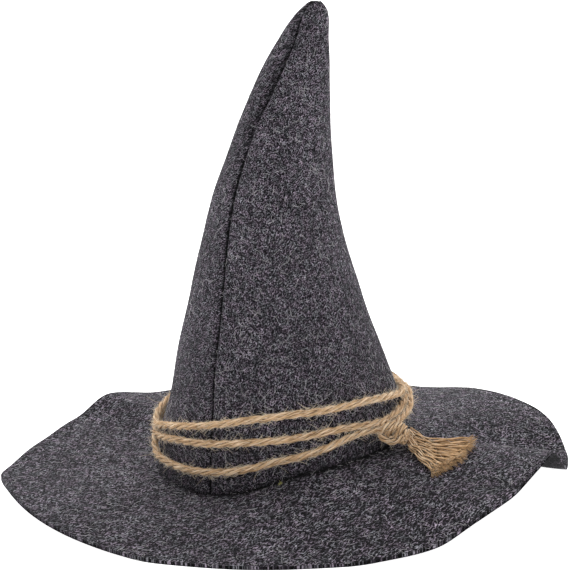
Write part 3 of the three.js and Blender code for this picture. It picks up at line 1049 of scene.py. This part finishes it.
# %% The tassel
TASSEL_GUIDES = [
    ((96.4, -49.2, 40), (92.4, -56.2, 38.5), (91.4, -59.2, 37)),
    ((102.4, -55.2, 37), (97.4, -67.2, 35), (94.4, -71.2, 34.6)),
    ((110.4, -62.2, 35.6), (104.4, -79.2, 34.4), (98.4, -90.2, 33.8)),
    ((122.4, -64.2, 35.6), (113.4, -91.2, 34.2), (103.4, -107.2, 32.6)),
    ((133.4, -64.2, 36.2), (123.4, -98.2, 34.4), (106.4, -116.2, 31.8)),
    ((143.4, -69.2, 36.8), (132.4, -98.2, 35.2), (109.4, -124.2, 30.8)),
]
YARNS = 27
YARN_RADIUS = 1.55 * MM
YARN_STEP = 1.2 * MM
YARN_PITCH = 40 * MM
YARN_WAVE = 0.35 * MM
WAVE_LONG = 21 * MM
WAVE_FROM = 8
LAYERS = (1.5 * MM, -1.3 * MM, 0.2 * MM)
BRUSH_FIBRES = 26
BRUSH_LENGTH = 7 * MM
BRUSH_SPREAD = 0.5
BRUSH_START = 3 * MM
BRUSH_LENGTHS = (0.55, 1.1)
BRUSH_RADII = (0.13 * MM, 0.12 * MM, 0.06 * MM)
BRUSH_WIDTH = 0.6
BRUSH_CURL = 0.8
BRUSH_DROOP = UP * 0.1
CUT_SHORTER = (-0.35, 0.0)
CUT_SLANT = 0.5
chance = random.Random(7)


def tassel_way(share, lift, cut):
    """The way of one yarn, at its share from the upper guide to the lower."""
    points = []
    for row in TASSEL_GUIDES:
        upper, middle, lower = (Vector(point) * MM for point in row)
        place = upper.lerp(middle, share * 2) if share < 0.5 else middle.lerp(lower, share * 2 - 1)
        points.append(place + UP * lift)
    points[-1] += (points[-1] - points[-2]) * cut
    return smooth_way(points, YARN_STEP)


def wavy(way, phase):
    """The way with the wave that its old twist has left in it."""
    step = way_length(way) / (len(way) - 1)
    out = []
    for k, (place, sides) in enumerate(zip(way, across_way(way))):
        turn = phase + math.tau * k * step / WAVE_LONG
        out.append(place + off_way(sides, turn) * YARN_WAVE * min(1, k / WAVE_FROM))
    return out


def brush(end, ahead, sides):
    """Fibres that open from a cut end."""
    lines = []
    for _ in range(BRUSH_FIBRES):
        turn = chance.uniform(0, math.tau)
        open_by = BRUSH_SPREAD * math.sqrt(chance.random())
        away = off_way(sides, turn)
        long = BRUSH_LENGTH * chance.uniform(*BRUSH_LENGTHS)
        start = end - ahead * BRUSH_START + away * YARN_RADIUS * BRUSH_WIDTH * chance.random()
        bend = ahead + away * open_by
        middle = start + bend * long * 0.5
        tip = middle + (bend + away * open_by * BRUSH_CURL - BRUSH_DROOP) * long * 0.5
        lines.append(list(zip((start, middle, tip), BRUSH_RADII)))
    return lines


def tassel_lines():
    """All yarns of the tassel and the brushes at their ends."""
    yarns, brushes = [], []
    for k in range(YARNS):
        share = (k + 0.5) / YARNS
        layer = LAYERS[k % len(LAYERS)]
        cut = chance.uniform(*CUT_SHORTER) - CUT_SLANT * share
        way = wavy(tassel_way(share, layer, cut), chance.uniform(0, 6))
        yarns += plies(way, YARN_RADIUS, YARN_PITCH, 2, chance.uniform(0, 6), HARD_PLY)
        ahead = (way[-1] - way[-4]).normalized()
        brushes += brush(way[-1], ahead, across_way(way)[-1])
    return yarns, brushes


yarn_lines, brush_lines = tassel_lines()
ends = [(0.0, 0.5)] * len(yarn_lines) + [(0.5, 1.0)] * len(brush_lines)
tassel = tubes("jute_tassel", yarn_lines + brush_lines, 0, jute, ends)
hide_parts("tassel")

# %% [markdown]
# Jute is never smooth: short fuzz stands off it all along, and a few long hairs bend away. Each one starts
# on the cord and follows it a little. The random numbers have a fixed seed, so that every run gives the
# same hat. Each row of `hairy_ways` gives the ways, how far from their middle the hairs start, how many
# there are, and their shortest and longest length in millimetres.

# %% Stray jute hairs
HAIR_COLOUR = (0.86, 0.74, 0.58, 1)
HAIR_RADII = (0.12 * MM, 0.108 * MM, 0.06 * MM)
HAIR_SINK = 0.6 * MM
HAIR_TWIST = (0.25, 1.1)
HAIR_END_AHEAD = (0.2, 1.0)
HAIR_END_TWIST = (-0.4, 1.2)


def plain(name, colour):
    """A material of one matt colour."""
    material, _, shader = new_material(name)
    set_sockets(shader, {"Base Color": colour, "Roughness": 0.9})
    return material


def stray_hair(place, ahead, away, length):
    """One hair that leaves a yarn."""
    ahead = ahead * chance.choice((-1, 1))
    twist = chance.uniform(*HAIR_TWIST)
    start = place - away * HAIR_SINK
    middle = start + (ahead + away * twist) * length * 0.5
    onward = ahead * chance.uniform(*HAIR_END_AHEAD)
    end = middle + (onward + away * twist * chance.uniform(*HAIR_END_TWIST)) * length * 0.5
    return list(zip((start, middle, end), HAIR_RADII))


def hairs_along(ways, radius, many, shortest, longest):
    """Hairs all round some ways, shared out by chance."""
    frames = [(way, across_way(way)) for way in ways]
    weights = [len(way) for way in ways]
    lines = []
    for way, rows in chance.choices(frames, weights, k=many):
        k = chance.randrange(1, len(way) - 1)
        turn = chance.uniform(0, math.tau)
        away = off_way(rows[k], turn)
        ahead = (way[k + 1] - way[k - 1]).normalized()
        lines.append(stray_hair(way[k] + away * radius, ahead, away, chance.uniform(shortest, longest) * MM))
    return lines


yarn_ways = [[place for place, _ in line] for line in yarn_lines]
hairy_ways = [
    ([cord_way], CORD_RADIUS * 0.92, 5400, 2.5, 6),
    ([cord_way], CORD_RADIUS * 0.92, 900, 5, 12),
    (knot_ways, KNOT_CORD * 0.9, 500, 2, 5),
    (yarn_ways, YARN_RADIUS * 0.5, 600, 2, 6),
]
hair_lines = [line for row in hairy_ways for line in hairs_along(*row)]
tubes("jute_stray_hairs", hair_lines, 0, plain("jute_hair", HAIR_COLOUR))

# %% [markdown]
# The felt sheds: pale wool hairs lie on it in loose curls. Each starts on a random face of the outside,
# chosen by area, wanders along the sheet and is laid back onto it point by point by the search tree. Each
# sheet has a number of hairs all over it and a number of further ones near the cord.

# %% Loose wool hairs
WOOL_PALE = (0.7, 0.68, 0.69, 1)
WOOL_RADIUS = 0.08 * MM
WOOL_HAIRS = {"felt_brim": (1500, 260), "felt_crown_right": (700, 260), "felt_crown_left": (500, 200)}
CORD_ZONE = (115 * MM, 85 * MM)
TOP_FACING = 0.3
WOOL_STEP = 1.6 * MM
WOOL_LOWEST = 0.15 * MM
WOOL_PARTS = (2, 6)
WOOL_FIRST_BEND = 0.5
WOOL_BEND = 0.22
WOOL_LIFT = 0.18
WOOL_ARCH = 0.8


def outer_faces(sheet):
    """The faces on the hat's outside or on the brim's upper side."""
    faces = sheet.data.polygons
    middles = np.array([face.center[:] for face in faces])
    facing = np.array([face.normal[:] for face in faces])
    shown = facing[:, 2] > TOP_FACING if sheet is brim else looks_outward(middles, facing) > 0
    return [face for face, seen in zip(faces, shown) if seen]


def wool_hair(tree, place, normal):
    """A curled hair that lies on the sheet."""
    ahead = normal.orthogonal().normalized()
    ahead.rotate(Quaternion(normal, chance.uniform(0, math.tau)))
    bend = chance.uniform(-WOOL_FIRST_BEND, WOOL_FIRST_BEND)
    parts = chance.randint(*WOOL_PARTS)
    line = []
    for k in range(parts):
        lift = WOOL_LIFT + chance.uniform(0, WOOL_ARCH) * math.sin(math.pi * k / (parts - 1))
        raised = place + normal * lift * MM
        raised.z = max(raised.z, WOOL_LOWEST)
        line.append((raised, WOOL_RADIUS))
        bend += chance.uniform(-WOOL_BEND, WOOL_BEND)
        ahead.rotate(Quaternion(normal, bend))
        place, normal, _, _ = tree.find_nearest(place + ahead * WOOL_STEP)
        ahead = (ahead - normal * ahead.dot(normal)).normalized()
    return line


def by_cord(face):
    """True for a face near the wound cord, where most hairs are rubbed loose."""
    return math.hypot(face.center.x, face.center.y) < CORD_ZONE[0] and face.center.z < CORD_ZONE[1]


wool_lines = []
for sheet in felt_sheets:
    faces = outer_faces(sheet)
    near = [face for face in faces if by_cord(face)]
    tree = search_tree(sheet.data)
    for some, many in zip((faces, near), WOOL_HAIRS[sheet.name]):
        for face in chance.choices(some, [face.area for face in some], k=many):
            wool_lines.append(wool_hair(tree, face.center.copy(), face.normal.copy()))
wool = tubes("wool_loose_hairs", wool_lines, 0, plain("wool_hair", WOOL_PALE))

# %% [markdown]
# Dark grey thread crosses from panel to panel at the bottom of each groove, so it only shows from near. The
# line of a seam is read off the right panel: of the points that touch the left panel, the one furthest out
# at each height. Behind it runs the turned-in felt, a round roll that keeps light from coming through; its
# colour is painted dark as shade. It gets thinner towards the tip, where a small fold lies across both
# seams.

# %% Thread and turned-in felt in the seams
THREAD_COLOUR = (0.01, 0.009, 0.012, 1)
THREAD_RADIUS = 0.2 * MM
STITCH_STEP = 4.5 * MM
STITCH_HALF = 1.5 * MM
STITCH_SINK = 0.25 * MM
SEAM_TOUCH = 0.7 * MM
STITCH_ENDS = (22 * MM, 350 * MM)
ROLL_ENDS = (15 * MM, 356 * MM)
ROLL_RADIUS = 2.2 * MM
ROLL_SINK = 2.7 * MM
ROLL_BELOW_TIP = 2.4 * MM
TIP_DEPTH = 1 * MM
ROLL_THINNER = (13 * MM, 0.4)
FOLD_PROFILE = [(-2.6, 0.8), (-1.3, 1.5), (0, 1.75), (1.3, 1.5), (2.6, 0.8)]
ROLL_STEP = 4 * MM
ROLL_PAINTED_SHADE = -0.85


def seam_line(front, ends):
    """Places along the front or the back seam of the horn, from the foot up."""
    at = places(crown_right.data)
    across, deep, _ = from_axis(at)
    touching = (distances(crown_right, [crown_left], SEAM_TOUCH) < SEAM_TOUCH) & ((deep < 0) == front)
    rows = []
    for level in np.arange(*ends, STITCH_STEP):
        here = touching & (np.abs(at[:, 2] - level) < STITCH_STEP / 2)
        if here.any():
            rows.append(at[np.argmax(np.where(here, np.hypot(across, deep), 0))])
    return np.array(rows)


def stitches(rows):
    """Short threads across a seam."""
    lines = []
    across, deep, _ = from_axis(rows)
    for place, a, b in zip(rows, across, deep):
        away = Vector((a, b, 0)).normalized()
        side = UP.cross(away)
        middle = Vector(place) - away * STITCH_SINK
        left = middle - side * STITCH_HALF - away * STITCH_SINK
        right = middle + side * STITCH_HALF - away * STITCH_SINK
        lines.append([(point, THREAD_RADIUS) for point in (left, middle, right)])
    return lines


def behind_seam(front):
    """Places behind a seam, from the foot up."""
    rows = seam_line(front, ROLL_ENDS)
    across, deep, _ = from_axis(rows)
    away = [Vector((a, b, 0)).normalized() for a, b in zip(across, deep)]
    return [Vector(place) - out * ROLL_SINK for place, out in zip(rows, away)]


def turned_in():
    """The roll of felt behind both seams, and the small fold that closes them at the tip."""
    at = np.vstack([places(crown_right.data), places(crown_left.data)])
    top = at[:, 2].max()
    tip = Vector(at[at[:, 2] > top - TIP_DEPTH].mean(0))
    tip.z = top - ROLL_BELOW_TIP
    front, back = behind_seam(True), behind_seam(False)
    way = smooth_way([*front, tip, *back[::-1]], ROLL_STEP)
    reach, least = ROLL_THINNER
    roll = [(place, ROLL_RADIUS * min(1, max(least, (top - place.z) / reach))) for place in way]
    side = UP.cross(front[-1] - back[-1]).normalized()
    tip.z = top - FOLD_PROFILE[2][1] * MM
    return [roll, [(tip + side * along * MM, thick * MM) for along, thick in FOLD_PROFILE]]


thread_lines = [line for front in (True, False) for line in stitches(seam_line(front, STITCH_ENDS))]
thread = tubes("seam_thread", thread_lines, 0, plain("seam_thread", THREAD_COLOUR))
# the roll is painted dark as shade; the fold at the tip keeps the felt's own tone
roll = tubes("felt_turned_in", turned_in(), 1, felt, [(ROLL_PAINTED_SHADE, ROLL_PAINTED_SHADE), (0, 0)])

# %% [markdown]
# A small tuft of yellow-green lint has caught where the crown meets the brim. It is a ball of short bent
# hairs.

# %% Lint
LINT_COLOUR = (0.42, 0.4, 0.14, 1)
LINT_AT = Vector((-4, -102, 18.5)) * MM
LINT_HAIRS = 40
LINT_SIZE = 1.3 * MM
LINT_RADIUS = 0.12 * MM


def somewhere():
    """A random place in the tuft, from its middle."""
    return Vector([chance.gauss(0, LINT_SIZE / 2) for _ in range(3)])


lint_lines = []
for _ in range(LINT_HAIRS):
    middle = LINT_AT + somewhere()
    lint_lines.append([(middle + somewhere(), LINT_RADIUS) for _ in range(4)])
lint = tubes("lint_tuft", lint_lines, 0, plain("lint", LINT_COLOUR))

# %% [markdown]
# Each felt piece is a sheet that was cut flat. The brim is a ring, and each crown panel is a curved
# triangle, so their flat areas are less than the rectangles that they are cut from. This cell only lists
# them.

# %% Sheets
print("sheets:", ", ".join(sheet.name for sheet in felt_sheets))
